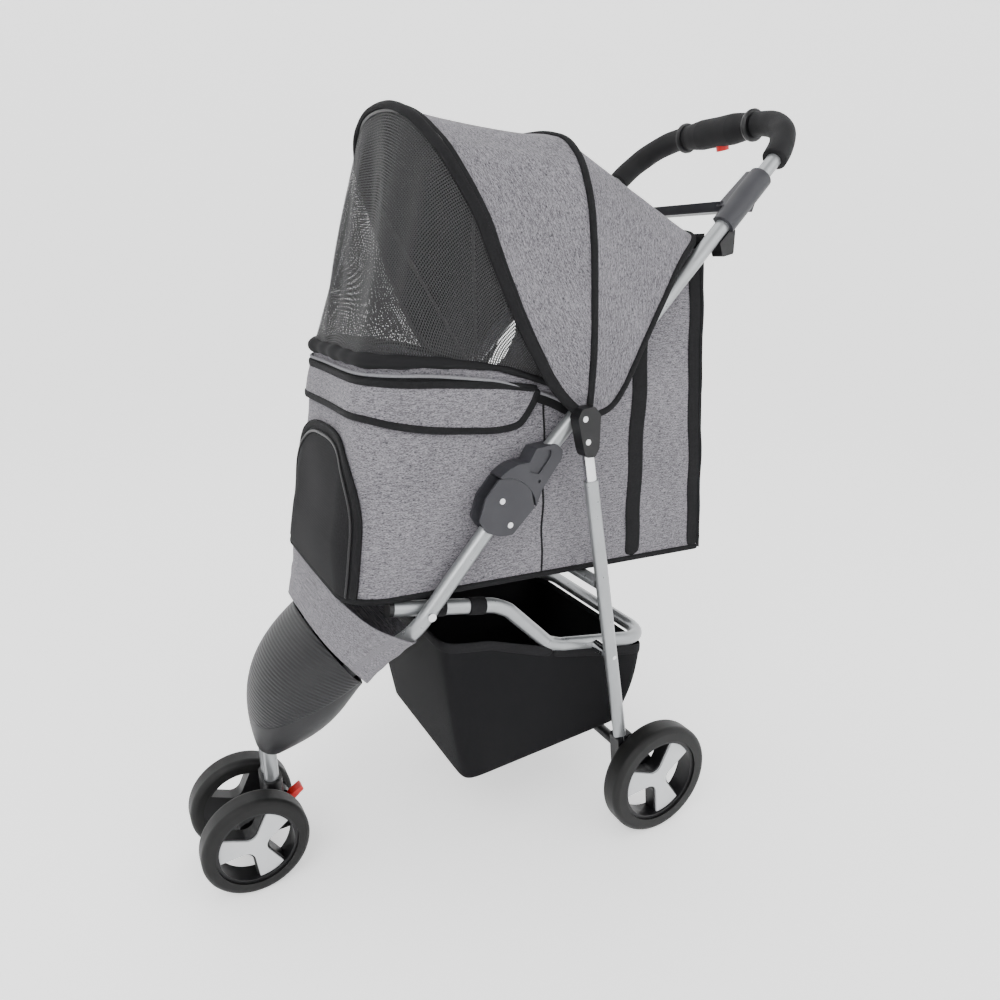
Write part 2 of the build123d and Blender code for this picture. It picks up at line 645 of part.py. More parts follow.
def leg_lower():
    """Thick lower leg tube, with a thin ring around it at each joint."""
    tube = bent([leg_point(leg_joint_z), leg_point(leg_end_z)], None, leg_d, 1.4)
    for z in (336.0, leg_joint_z - 4):
        ring = rod(leg_d / 2 + 0.18, leg_point(z - 3), leg_point(z + 3))
        tube += ring - rod(leg_d / 2 - 0.7, leg_point(z - 8), leg_point(z + 8))
    return tube - cross_rod(pin_r + run_gap, knee_y, knee_z, leg_x - leg_d, leg_x + leg_d)


leg_rivet_spots = [(leg_top_y - 4.0, leg_top_z + 3.0), (leg_y(575.0) - 4.0, 579.0)]


def leg_bracket():
    """Moulded cap on the top of a leg; it swings on the handle tube."""
    y, z = leg_top_y, leg_top_z
    outline = [(y - 14, z + 4), (y - 9, z + 15), (y + 9, z + 17), (y + 18, z + 6), (y + 17.5, z - 34),
               (y + 12, z - 44), (y - 1, z - 44), (y - 5, z - 34)]
    body = plate(outline, latch_out_x + leg_gap, leg_x + leg_d / 2, 5.0)
    body -= rod(leg_thin_d / 2 + fit_gap, leg_point(580.0 + fit_gap), leg_point(leg_joint_z - 60))
    return body - rivet_room(leg_rivet_spots, leg_x + leg_d / 2, 1.1)


def leg_washer():
    """Spacer on the handle tube behind the leg bracket."""
    disc = cross_rod(8.0, leg_top_y, leg_top_z, frame_x + tube_r - 1.5, latch_out_x - 0.1)
    a, b = along_handle(leg_top_r - 20), along_handle(leg_top_r + 20)
    return disc - rod(tube_r + fit_gap, (frame_x, *a), (frame_x, *b))


def foot_housing():
    """Moulded foot at the bottom of a leg that carries the axle behind the leg."""
    y = leg_y(leg_end_z)
    low_z = rear_wheel_r
    outline = [(y - 19, 150.0), (y + 6, 150.0), (rear_axle_y + 13, low_z + 8), (rear_axle_y + 12, low_z - 12),
               (rear_axle_y - 8, low_z - 14), (y - 12, low_z - 2)]
    body = plate(outline, leg_x - leg_d / 2 - 2, leg_x + leg_d / 2, 5.0)
    body -= rod(leg_d / 2 + fit_gap, leg_point(leg_end_z - fit_gap), leg_point(260.0))
    return body - cross_rod(rear_axle_r + fit_gap, rear_axle_y, low_z, -300, 300)


def rear_axle():
    end = rear_wheel_x + rear_wheel_w / 2 - 9.7
    return cross_rod(rear_axle_r, rear_axle_y, rear_wheel_r, -end, end)


def axle_sleeve():
    """Black cross tube around the axle between the brake collars."""
    ring = cross_rod(8.0, rear_axle_y, rear_wheel_r, -132, 132)
    return ring - cross_rod(rear_axle_r + fit_gap, rear_axle_y, rear_wheel_r, -140, 140)


def brake_pedal():
    """Foot pedal that turns on the axle beside a wheel."""
    y, z = rear_axle_y, rear_wheel_r
    x0, x1 = 140.0, leg_x - leg_d / 2 - 2.6
    arm = plate([(y - 4, z + 8), (y + 26, z + 20), (y + 50, z + 16), (y + 50, z + 11), (y + 26, z + 9), (y + 4, z - 8)],
                x0, x1)
    body = cross_rod(10.0, y, z, x0, x1) + arm
    return body - cross_rod(rear_axle_r + run_gap, y, z, x0 - 1, x1 + 1)


def leg_cross_tube():
    x1 = leg_x - leg_d / 2 - fit_gap
    y = leg_y(cross_z)
    return cross_rod(cross_d / 2, y, cross_z, -x1, x1) - cross_rod(cross_d / 2 - 1.4, y, cross_z, -x1 - 1, x1 + 1)


# ---- wheels ----
arm_angles = (50.0, 170.0, 290.0)


def wheel_openings(tip_r, shrink):
    """Three rounded openings between the arms of a wheel, in the wheel's plane."""
    room = None
    for arm in arm_angles:
        middle = arm + 60.0
        apex, spread, far = 8.0 + shrink * 1.3, 41.3 - shrink * 1.2, tip_r * 1.25
        points = [(apex, 0), (far * cos(radians(spread)), far * sin(radians(spread))), (far * 1.3, 0),
                  (far * cos(radians(spread)), -far * sin(radians(spread)))]
        face = make_face(Polyline(*points, close=True))
        corner = [v for v in face.vertices() if abs(Vector(v).X - apex) < 0.01]
        face = Rot(0, 0, middle) * fillet(corner, tip_r * 0.26)
        room = face if room is None else room + face
    return room & Circle(tip_r)


def wheel(radius, width, axle_r):
    """Tyre, rim and arm cover of a wheel about the X axis, with its outer side towards +X."""
    rim_r, tip_r = radius * 0.76, radius * 0.70
    half = width / 2
    band = Pos(0, (radius + rim_r) / 2) * Rectangle(width, radius - rim_r)
    tread = fillet(band.vertices().group_by(Axis.Y)[-1], width * 0.24)
    tyre = revolve(tread, Axis.X)
    cover_in, cover_t = half - 8.5, 3.0
    ring = Circle(rim_r - fit_gap) - Circle(tip_r)
    rim = extrude(Plane.YZ.offset(-half + 3) * ring, amount=width - 6)
    web = Circle(tip_r + 0.5) - wheel_openings(tip_r, 2.2)
    rim += extrude(Plane.YZ.offset(-half + 5) * web, amount=cover_in + half - 5)
    rim += cross_rod(axle_r + 7.0, 0, 0, -half + 0.2, cover_in)
    rim -= cross_rod(axle_r + run_gap, 0, 0, -half - 1, cover_in - 0.8)
    cover = Circle(tip_r - 0.6) - wheel_openings(tip_r, 0.0)
    cover = extrude(Plane.YZ.offset(cover_in) * cover, amount=cover_t)
    return tyre, rim, cover


# ---- front caster ----
caster_half = 24.0


def caster_housing():
    """Body of the caster: a hub under the stem and an arm forward to the axle."""
    y, z = stem_y, front_wheel_r
    outline = [(y - 17, z + 21.0), (y + 20, z + 21.0), (y + 27, z + 8), (y + 16, z - 14), (front_axle_y - 4, z - 15),
               (front_axle_y - 17, z - 4), (front_axle_y - 14, z + 10)]
    body = plate(outline, -caster_half, caster_half, 5.0)
    body -= rod(6.0 + run_gap, (0, y, z - 8), (0, y, 130))
    body -= cross_rod(front_axle_r + fit_gap, front_axle_y, z, -60, 60)
    body -= Pos(0, y + 26, z + 20) * Box(15, 20, 24)
    return body - cross_rod(1.5 + run_gap, lever_y, lever_z, -12.5, 12.5)


def front_axle():
    end = front_wheel_x + front_wheel_w / 2 - 9.7
    return cross_rod(front_axle_r, front_axle_y, front_wheel_r, -end, end)


lever_y, lever_z = stem_y + 21.0, front_wheel_r + 15.0


def caster_lever():
    """Red lever at the back of the caster that locks its swivel, with its two short trunnions."""
    outline = [(lever_y - 4, lever_z - 3), (lever_y + 4, lever_z - 4), (lever_y + 20, lever_z + 9),
               (lever_y + 17, lever_z + 15), (lever_y + 2, lever_z + 6)]
    return plate(outline, -7.0, 7.0, 1.5) + cross_rod(1.5, lever_y, lever_z, -12.0, 12.0)


def pivot_pins():
    """Pins of the front frame: the latch hinges, the base tube pivots and the latch rivets."""
    x0 = frame_x - slot_half - cheek + 1.0
    latch = cross_rod(4.0, latch_y, latch_z, x0, latch_out_x - 1.0)
    base = cross_rod(pin_r, pivot_y, pivot_z, base_x - tube_r - 1, frame_x + tube_r + 0.2)
    base += cross_rod(5.0, pivot_y, pivot_z, frame_x + tube_r, latch_out_x - 0.6)
    return both(group([latch, base] + rivets(latch_rivet_spots, latch_out_x)))


def write_all():
    os.makedirs("parts", exist_ok=True)
    save("front_tubes", both(front_tube()))
    save("stem_socket", stem_socket())
    save("swivel_pin", swivel_pin())
    save("toe_cap", toe_cap())
    save("front_gaiter", front_gaiter())
    save("latch_bodies", both(latch_body()))
    save("front_frame_pins", pivot_pins())

    save("handle_tube", handle_tube())
    save("handle_knuckles", both(handle_knuckle()))
    save("handle_foam", both(foam()))
    grip, collars = grip_parts()
    save("hand_grip", grip)
    save("grip_collars", collars)
    save("grip_button", grip_button())
    save("tray", tray())
    save("tray_brackets", both(tray_bracket()))
    save("leg_washers", both(leg_washer()))
    collar = latch_collar()
    save("latch_collar_left", collar)
    save("latch_collar_right", mirror(collar, about=Plane.YZ))

    save("base_tube", base_tube())
    save("base_end_caps", base_end_caps())
    save("strap_loops", both(group([strap_loop(-128.0), strap_loop(-74.0)])))
    save("floor_board", floor_board())
    side = cabin_side()
    save("cabin_side_left", side)
    save("cabin_side_right", mirror(side, about=Plane.YZ))
    save("cabin_front", cabin_front())
    save("cabin_rear", cabin_rear())
    save("rim_hoop", rim_hoop())
    save("basket", basket())
    save("knee_pins", both(knee_pin()))
    save("hub_pins", both(hub_pin()))
    save("canopy_rear", sheet(mid_arch, rear_arch, 0.14, 1.0, 16.0))

    save("front_bow", bow(*front_arch, cabin_half + 0.3))
    save("mesh_window", sheet(front_arch, rim_arch, 0.10, 1.0, 48.0))
    save("middle_bow", bow(*mid_arch, stack_mid_x + 0.15))
    save("canopy_front", sheet(front_arch, mid_arch, 0.09, 0.91, 48.0))

    save("leg_upper_tubes", both(leg_upper()))
    save("leg_lower_tubes", both(leg_lower()))
    save("leg_brackets", both(leg_bracket()))
    save("leg_rivets", both(group(rivets(leg_rivet_spots, leg_x + leg_d / 2, 1.1))))
    save("foot_housings", both(foot_housing()))
    save("rear_axle", rear_axle())
    save("axle_sleeve", axle_sleeve())
    save("leg_cross_tube", leg_cross_tube())
    pedal = brake_pedal()
    save("brake_pedal_left", pedal)
    save("brake_pedal_right", mirror(pedal, about=Plane.YZ))

    save("caster_housing", caster_housing())
    save("front_axle", front_axle())
    save("caster_lever", caster_lever())

    wheels = [
        ("rear", rear_wheel_r, rear_wheel_w, rear_axle_r, rear_wheel_x, rear_axle_y),
        ("front", front_wheel_r, front_wheel_w, front_axle_r, front_wheel_x, front_axle_y),
    ]
    for place, radius, width, axle_r, x, y in wheels:
        pieces = wheel(radius, width, axle_r)
        for piece_name, piece in zip(("tyre", "rim", "arm_cover"), pieces):
            at = Pos(x, y, radius) * piece
            save(f"{place}_{piece_name}_left", at)
            save(f"{place}_{piece_name}_right", mirror(at, about=Plane.YZ))


write_all()
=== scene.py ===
import json
import math
import bmesh
import bpy
import numpy as np
from mathutils import Matrix


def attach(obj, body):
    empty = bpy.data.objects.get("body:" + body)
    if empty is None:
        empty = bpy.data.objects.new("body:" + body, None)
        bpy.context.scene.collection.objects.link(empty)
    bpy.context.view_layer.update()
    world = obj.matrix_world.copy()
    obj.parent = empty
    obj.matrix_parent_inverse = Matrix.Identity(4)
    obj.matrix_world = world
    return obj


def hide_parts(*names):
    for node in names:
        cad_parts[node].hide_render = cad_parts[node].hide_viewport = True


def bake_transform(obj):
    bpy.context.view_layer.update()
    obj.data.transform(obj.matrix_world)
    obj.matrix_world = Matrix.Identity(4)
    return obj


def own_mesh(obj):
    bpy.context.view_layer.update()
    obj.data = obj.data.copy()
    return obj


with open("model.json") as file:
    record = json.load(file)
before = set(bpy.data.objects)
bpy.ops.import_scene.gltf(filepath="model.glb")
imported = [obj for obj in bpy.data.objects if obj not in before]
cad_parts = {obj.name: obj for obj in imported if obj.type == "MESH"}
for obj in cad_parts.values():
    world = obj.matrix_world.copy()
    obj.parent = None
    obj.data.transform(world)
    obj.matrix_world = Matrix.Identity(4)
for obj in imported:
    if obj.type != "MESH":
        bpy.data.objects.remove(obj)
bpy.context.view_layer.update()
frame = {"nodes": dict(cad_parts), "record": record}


class Wire:  # one shader socket with arithmetic
    def __init__(self, tree, socket):
        self.tree, self.socket = tree, socket

    def apply(self, operation, *values):
        node = self.tree.nodes.new("ShaderNodeMath")
        node.operation = operation
        for place, value in zip(node.inputs, values):
            if isinstance(value, Wire):
                self.tree.links.new(value.socket, place)
            else:
                place.default_value = value
        return Wire(self.tree, node.outputs[0])

    def __add__(self, other):
        return self.apply("ADD", self, other)

    __radd__ = __add__

    def __sub__(self, other):
        return self.apply("SUBTRACT", self, other)

    def __rsub__(self, other):
        return self.apply("SUBTRACT", other, self)

    def __mul__(self, other):
        return self.apply("MULTIPLY", self, other)

    __rmul__ = __mul__

    def __truediv__(self, other):
        return self.apply("DIVIDE", self, other)

    def __rtruediv__(self, other):
        return self.apply("DIVIDE", other, self)

    def __pow__(self, other):
        return self.apply("POWER", self, other)

    def wave(self):  # 0 to 1 once every unit
        return self.apply("SINE", self * math.tau, 0.0) * 0.5 + 0.5

    def held(self):  # kept between 0 and 1
        return self.apply("MINIMUM", self.apply("MAXIMUM", self, 0.0), 1.0)

    def above(self, level, soft=0.05):  # 0 below the level and 1 above it, with a soft edge
        return ((self - level) / soft + 0.5).held()


class Finish:  # a material and the nodes that colour it
    def __init__(self, name, **constants):
        self.material = bpy.data.materials.new(name)
        self.material.use_nodes = True
        self.tree = self.material.node_tree
        self.shader = next(n for n in self.tree.nodes if n.type == "BSDF_PRINCIPLED")
        self.output = next(n for n in self.tree.nodes if n.type == "OUTPUT_MATERIAL")
        for key, value in constants.items():
            self.shader.inputs[key.replace("_", " ")].default_value = value

    def node(self, kind, settings=(), sockets=(), output=0):
        node = self.tree.nodes.new(kind)
        for key, value in dict(settings).items():
            setattr(node, key, value)
        for key, value in dict(sockets).items():
            if isinstance(value, Wire):
                self.tree.links.new(value.socket, node.inputs[key])
            else:
                node.inputs[key].default_value = value
        return Wire(self.tree, node.outputs[output])

    def place(self, scale=(1, 1, 1), uv=False):
        source = self.node("ShaderNodeTexCoord", output="UV" if uv else "Object")
        return self.node("ShaderNodeVectorMath", {"operation": "MULTIPLY"}, {0: source, 1: scale})

    def axis(self, number, uv=False):
        return self.node("ShaderNodeSeparateXYZ", (), {0: self.place((1, 1, 1), uv)}, number)

    def noise(self, scale, detail=2.0, uv=False, rough=0.5):
        return self.node("ShaderNodeTexNoise", (), {"Vector": self.place(scale, uv), "Scale": 1.0, "Detail": detail,
                                                    "Roughness": rough})

    def colour(self, share, dark, light):
        mixed = self.node("ShaderNodeMix", {"data_type": "RGBA"}, {0: share, 6: (*dark, 1), 7: (*light, 1)}, 2)
        self.tree.links.new(mixed.socket, self.shader.inputs["Base Color"])
        return self

    def rough(self, wire):
        self.tree.links.new(wire.socket, self.shader.inputs["Roughness"])
        return self

    def bump(self, height, strength=0.3, distance=0.0005):
        normal = self.node("ShaderNodeBump", (), {"Height": height, "Strength": strength, "Distance": distance})
        self.tree.links.new(normal.socket, self.shader.inputs["Normal"])
        return self

    def seeThrough(self, share):  # share 1 is thread, 0 is hole
        hole = self.node("ShaderNodeBsdfTransparent")
        mixed = self.node("ShaderNodeMixShader", (), {0: share, 1: hole,
                                                      2: Wire(self.tree, self.shader.outputs[0])})
        self.tree.links.new(mixed.socket, self.output.inputs[0])
        return self


def weave(finish, pitch, uv=True):  # two crossing thread waves, the higher one on top
    across = (finish.axis(0, uv) / pitch).wave()
    along = (finish.axis(1, uv) / pitch).wave()
    return across.apply("MAXIMUM", across, along)


def melange(name, dark, light, uv=True):
    f = Finish(name, Roughness=0.88, Sheen_Weight=0.06, Sheen_Roughness=0.5, Specular_IOR_Level=0.2)
    threads = f.noise((330, 1500, 1), 3.0, uv, 0.6) * 0.5 + f.noise((1500, 420, 1), 3.0, uv, 0.6) * 0.2
    streaks = f.noise((90, 520, 1), 4.0, uv, 0.65) * 0.3
    tone = f.noise((9, 9, 9), 2.0, uv)
    f.colour(((threads + streaks - 0.5) * 5.6 + 0.5 + (tone - 0.5) * 0.3).held(), dark, light)
    return f.bump(threads * 0.7 + weave(f, 0.0011, uv) * 0.3, 0.35, 0.0004)


def cloth(name, dark, light, pitch=0.0012, uv=True, roughness=0.82):
    f = Finish(name, Roughness=roughness, Specular_IOR_Level=0.12)
    f.colour(f.noise((420, 420, 420), 3.0, uv), dark, light)
    return f.bump(weave(f, pitch, uv), 0.3, 0.0004)


def openMesh(name, pitch, thread, tint):
    f = Finish(name, Roughness=0.7, Base_Color=(*tint, 1))
    u, v = f.axis(0, True), f.axis(1, True)
    stripes = (u / pitch).wave().apply("MAXIMUM", (u / pitch).wave(), (v / pitch).wave())
    return f.seeThrough(stripes.above(1 - thread, 0.12))


def moulded(name, dark, light, roughness=0.5, grain=900, strength=0.15, shine=0.3):
    f = Finish(name, Roughness=roughness, Specular_IOR_Level=shine)
    speck = f.noise((grain, grain, grain), 3.0)
    f.colour(f.noise((35, 35, 35), 3.0), dark, light)
    f.rough(f.noise((60, 60, 60), 4.0) * 0.16 + (roughness - 0.08))
    return f.bump(speck, strength, 0.0003)


def metal(name, dark, light, roughness, metallic=1.0):
    f = Finish(name, Metallic=metallic, Roughness=roughness)
    f.colour(f.noise((25, 25, 25), 4.0), dark, light)
    return f.rough(f.noise((80, 80, 80), 5.0) * 0.14 + (roughness - 0.07)).bump(f.noise((700, 700, 700), 2.0), 0.04)


def ribbed(name, dark, light, pitch):
    f = Finish(name, Roughness=0.5, Specular_IOR_Level=0.3)
    tilt = f.axis(1) * 0.55 + f.axis(2) * 0.83
    upper = (f.axis(2) - f.axis(1) * 0.55).above(0.405, 0.003)  # ribs stop at a slanted line, smooth shell below it
    f.colour(f.noise((40, 40, 40), 3.0), dark, light)
    return f.bump((tilt / pitch).wave() * upper + upper * 1.5 + f.noise((500, 500, 500)) * 0.2, 0.5, 0.0012)


finishes = {
    "frame_silver": metal("satin silver tube", (0.24, 0.25, 0.255), (0.34, 0.35, 0.36), 0.3, 0.7),
    "steel_bright": metal("bright plated steel", (0.55, 0.55, 0.57), (0.75, 0.75, 0.76), 0.2),
    "spring_steel": metal("dark spring steel", (0.04, 0.04, 0.04), (0.07, 0.07, 0.07), 0.4),
    "plastic_black": moulded("black moulded plastic", (0.004, 0.004, 0.0045), (0.008, 0.008, 0.009), 0.42),
    "plastic_grey": moulded("dark grey moulded plastic", (0.020, 0.020, 0.024), (0.034, 0.034, 0.039), 0.45),
    "plastic_cap": ribbed("ribbed shell plastic", (0.006, 0.006, 0.007), (0.011, 0.011, 0.0125), 0.0042),
    "plastic_red": moulded("red moulded plastic", (0.42, 0.012, 0.012), (0.55, 0.02, 0.018), 0.32),
    "wheel_silver": moulded("silver painted plastic", (0.40, 0.41, 0.42), (0.50, 0.51, 0.52), 0.34, 300, 0.05),
    "tyre_black": moulded("foam rubber tyre", (0.003, 0.003, 0.003), (0.007, 0.007, 0.007), 0.5, 500, 0.3, 0.22),
    "foam_black": moulded("closed-cell foam", (0.004, 0.004, 0.0045), (0.009, 0.009, 0.010), 0.72, 1400, 0.6, 0.2),
    "fabric_melange": melange("heather grey fabric", (0.022, 0.021, 0.025), (0.235, 0.226, 0.247)),
    "fabric_black": cloth("black fabric", (0.0025, 0.0025, 0.003), (0.006, 0.006, 0.007)),
    "mesh_black": openMesh("open mesh", 0.0030, 0.30, (0.012, 0.012, 0.013)),
}
lining = cloth("dark hood lining", (0.003, 0.003, 0.0035), (0.008, 0.008, 0.009))
binding = cloth("black binding tape", (0.004, 0.004, 0.0045), (0.012, 0.012, 0.013), 0.0009, False)
piping = cloth("grey piping", (0.10, 0.10, 0.11), (0.2, 0.2, 0.21), 0.0009, False)
doorMesh = cloth("black door mesh", (0.003, 0.003, 0.0035), (0.014, 0.014, 0.015), 0.0030)
print("finishes made")

slotOf = {s["node"]: s["material_slot"] for s in frame["record"]["subparts"]}
for nodeName, part in frame["nodes"].items():
    part.data.materials.clear()
    part.data.materials.append(finishes[slotOf[nodeName]].material)
    if "fabric" in slotOf[nodeName] or "mesh" in slotOf[nodeName]:
        part.data.materials[0] = cloth(nodeName + " cloth", (0.004, 0.004, 0.0045), (0.010, 0.010, 0.011),
                                       0.0012, False).material
print("frame pieces finished")


def closed(mesh, gap=None):  # faces turned outwards, and points closer than the gap made one
    shape = bmesh.new()
    shape.from_mesh(mesh)
    if gap:
        bmesh.ops.remove_doubles(shape, verts=shape.verts, dist=gap)
    bmesh.ops.recalc_face_normals(shape, faces=shape.faces)
    shape.to_mesh(mesh)
    shape.free()
    mesh.polygons.foreach_set("use_smooth", [True] * len(mesh.polygons))


def placed(name, mesh, finish, body):
    piece = bpy.data.objects.new(name, mesh)
    bpy.context.collection.objects.link(piece)
    mesh.materials.append(finish.material)
    if body:
        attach(piece, body)
    return piece


def build(name, points, faces, uvs, finish, body):  # body is None for a piece attached to no body
    mesh = bpy.data.meshes.new(name)
    mesh.from_pydata(points.reshape(-1, 3).tolist(), [], faces.tolist())
    layer = mesh.uv_layers.new(name="UVMap")
    corner = np.zeros(len(mesh.loops), int)
    mesh.loops.foreach_get("vertex_index", corner)
    layer.data.foreach_set("uv", uvs.reshape(-1, 2)[corner].astype(np.float32).ravel())
    closed(mesh, 2e-6)
    return placed(name, mesh, finish, body)


def gridFaces(index, around=False):  # four-cornered faces between neighbouring rows and columns
    if around:
        index = np.concatenate([index, index[:, :1]], 1)
    a, b, c, d = index[:-1, :-1], index[1:, :-1], index[1:, 1:], index[:-1, 1:]
    return np.stack([a, b, c, d], -1).reshape(-1, 4)


def twoSided(name, outer, inner, uv, finish, body, around=False):
    # outer and inner grids joined by a strip along their rims
    rows, columns = outer.shape[:2]
    top = np.arange(rows * columns).reshape(rows, columns)
    low = top + rows * columns
    faces = [gridFaces(top, around), gridFaces(low, around)[:, ::-1]]
    for edge in (0, -1):
        faces.append(gridFaces(np.stack([top[edge], low[edge]], 0), around))
        if not around:
            faces.append(gridFaces(np.stack([top[:, edge], low[:, edge]], 0)))
    return build(name, np.concatenate([outer, inner]), np.concatenate(faces), np.concatenate([uv, uv]),
                 finish, body)


def normals(grid, around=False):  # cross product of the two grid directions, by central differences
    along = np.gradient(grid, axis=0)
    if around:
        across = (np.roll(grid, -1, 1) - np.roll(grid, 1, 1)) / 2
    else:
        across = np.gradient(grid, axis=1)
    n = np.cross(along, across)
    return n / np.maximum(np.linalg.norm(n, axis=-1, keepdims=True), 1e-12)


def lengths(grid):  # distance along and across the grid, in metres, for the weave
    along = np.linalg.norm(np.diff(grid, axis=0, prepend=grid[:1]), axis=-1).cumsum(0)
    across = np.linalg.norm(np.diff(grid, axis=1, prepend=grid[:, :1]), axis=-1).cumsum(1)
    return np.stack([along, across], -1)


def swept(name, path, side, up, halfWide, halfHigh, finish, body, sides=12, square=1.0):
    # a section of given half width and height carried along the path, closed to a round point at both ends
    count = len(path)
    turn = np.linspace(0, math.tau, sides, endpoint=False)
    c, s = np.cos(turn), np.sin(turn)
    c, s = np.sign(c) * abs(c) ** square, np.sign(s) * abs(s) ** square
    place = np.arange(count)
    near = np.minimum(place, count - 1 - place) / 2.0
    close = np.sqrt(np.clip(1 - (1 - np.clip(near, 0, 1)) ** 2, 0, 1))[:, None, None]
    wide = (np.ones(count) * halfWide)[:, None, None]
    high = (np.ones(count) * halfHigh)[:, None, None]
    rings = side[:, None] * wide * c[None, :, None] + up[:, None] * high * s[None, :, None]
    points = (path[:, None] + close * rings)[1:-1]
    index = np.arange(points.shape[0] * sides).reshape(-1, sides)
    flat = np.concatenate([points.reshape(-1, 3), path[:1], path[-1:]])
    first, last = len(flat) - 2, len(flat) - 1
    nextOne = np.roll(index, -1, 1)
    caps = np.concatenate([np.stack([np.full(sides, first), index[0], nextOne[0], nextOne[0]], -1),
                           np.stack([np.full(sides, last), nextOne[-1], index[-1], index[-1]], -1)])
    faces = [list(f) for f in gridFaces(index, True)] + [list(f[:3]) for f in caps]
    return buildMixed(name, flat, faces, finish, body)


def buildMixed(name, points, faces, finish, body):
    mesh = bpy.data.meshes.new(name)
    mesh.from_pydata(points.tolist(), [], [[int(i) for i in f] for f in faces])
    closed(mesh)
    return placed(name, mesh, finish, body)


def directions(path):
    t = np.gradient(path, axis=0)
    return t / np.maximum(np.linalg.norm(t, axis=-1, keepdims=True), 1e-12)


def tape(name, path, outward, wide, high, finish, body, square=0.6):
    # flat tape lying on a surface: its width runs across the path and the outward direction
    t = directions(path)
    out = outward - (outward * t).sum(-1, keepdims=True) * t
    out = out / np.maximum(np.linalg.norm(out, axis=-1, keepdims=True), 1e-12)
    return swept(name, path, np.cross(t, out), out, wide / 2, high / 2, finish, body, 12, square)


def smoothLine(points, count, rounds=3, window=7):  # points spaced evenly by length, then averaged with neighbours
    points = np.array(points, float)
    run = np.concatenate([[0], np.linalg.norm(np.diff(points, axis=0), axis=1).cumsum()])
    even = np.linspace(0, run[-1], count)
    line = np.stack([np.interp(even, run, points[:, i]) for i in range(points.shape[1])], -1)
    for _ in range(rounds):
        before, after = 2 * line[:1] - line[window:0:-1], 2 * line[-1:] - line[-2:-window - 2:-1]
        wide = np.concatenate([before, line, after])
        kernel = np.ones(2 * window + 1) / (2 * window + 1)
        line = np.stack([np.convolve(wide[:, i], kernel, "valid") for i in range(wide.shape[1])], -1)
    return line


# the cabin: s runs round the walls from the middle of the nose, z is height
cabin = {
    "half": 0.1455, "noseZ": (0.4115, 0.470, 0.560, 0.625, 0.677),
    "noseY": (-0.236, -0.232, -0.212, -0.197, -0.188), "noseR": (0.048, 0.066, 0.070, 0.070, 0.070),
    "rearFoot": (0.284, 0.388), "rearTop": (0.252, 0.797), "floorFront": (-0.205, 0.410),
    "wall": 0.0015, "folds": 0.0022,
    "topY": (-0.13, -0.043, 0.030, 0.079, 0.100, 0.131, 0.152, 0.173, 0.191, 0.208, 0.233, 0.252),
    "topZ": (0.677, 0.664, 0.640, 0.612, 0.614, 0.642, 0.682, 0.720, 0.753, 0.786, 0.797, 0.797),
}


def nose(z):
    return (np.interp(z, cabin["noseZ"], cabin["noseY"]), np.interp(z, cabin["noseZ"], cabin["noseR"]))


def folds(s, z):  # soft waves that run down and back from the hub, weaker towards the seams
    side = 0.5 * np.sin(34 * s + 16 * z + 1.7 * np.sin(21 * z)) + 0.5 * np.sin(61 * z - 23 * s + 2.0 * np.sin(13 * s))
    pull = 0.7 * np.sin(95 * (z - 0.5) + 40 * abs(s)) * np.exp(-((abs(s) - 0.33) / 0.07) ** 2)
    quiet = np.clip((z - 0.405) / 0.05, 0, 1)
    return cabin["folds"] * (side + pull) * quiet


def wrap(s, z, off=0.0):  # flat front, quarter-circle corners, straight sides, pushed out by off
    s, z = np.broadcast_arrays(np.asarray(s, float), np.asarray(z, float))
    y0, r = nose(z)
    out = off + folds(s, z)
    flat = cabin["half"] - r
    bend = np.clip((abs(s) - flat) / r, 0, math.pi / 2)
    back = np.clip(abs(s) - flat - r * math.pi / 2, 0, None)
    x = np.minimum(abs(s), flat) + (r + out) * np.sin(bend)
    y = y0 + r - (r + out) * np.cos(bend) + back
    return np.stack([np.sign(s) * x, y, z], -1)


def sAt(y, z):  # how far round the wall a point at y on the side is
    y0, r = nose(z)
    return cabin["half"] - r + r * math.pi / 2 + (y - y0 - r)


def rearY(z):
    (y0, z0), (y1, z1) = cabin["rearFoot"], cabin["rearTop"]
    return y0 + (y1 - y0) * (z - z0) / (z1 - z0)


def footZ(y):
    (y0, z0), (y1, z1) = cabin["floorFront"], cabin["rearFoot"]
    return z0 + (z1 - z0) * np.clip((y - y0) / (y1 - y0), 0, 1) + 0.0008


def cabinGrid(columns, rows):  # s as a share of the half round, z from the foot to the top line
    share = np.linspace(-1, 1, columns)[:, None]
    v = np.linspace(0, 1, rows)[None, :]
    z = np.full((columns, rows), 0.55)
    for _ in range(12):
        s = share * sAt(rearY(z), z)
        y = wrap(s, z)[..., 1]
        z = 0.5 * z + 0.5 * (footZ(y) + v * (np.interp(y, cabin["topY"], cabin["topZ"]) - footZ(y)))
    return share * sAt(rearY(z), z), z


s, z = cabinGrid(320, 90)
outer = wrap(s, z)
cabinWalls = twoSided("cabin_walls", outer, wrap(s, z, -cabin["wall"]), np.stack([s, z], -1),
                      finishes["fabric_melange"], "base_frame")
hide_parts("cabin_side_left", "cabin_side_right", "cabin_front")

# rear panel: a flat sheet between the side seams, slightly hollow
u, v = np.meshgrid(np.linspace(-1, 1, 60), np.linspace(0, 1, 60), indexing="ij")
rearZ = cabin["rearFoot"][1] + v * (cabin["rearTop"][1] + 0.018 - cabin["rearFoot"][1])
rear = np.stack([u * cabin["half"], rearY(rearZ) + 0.0012 - 0.004 * (1 - u ** 2) * np.sin(math.pi * v), rearZ], -1)
rearPanel = twoSided("rear_panel", rear + [0, 0.0015, 0], rear, np.stack([u * 0.145, rearZ], -1),
                     doorMesh, "base_frame")
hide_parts("cabin_rear")
print("cabin walls made")


def onWall(s, z, off):  # points on the wall and the outward direction there
    path = wrap(s, z, off)
    return path, wrap(s, z, off + 0.01) - path


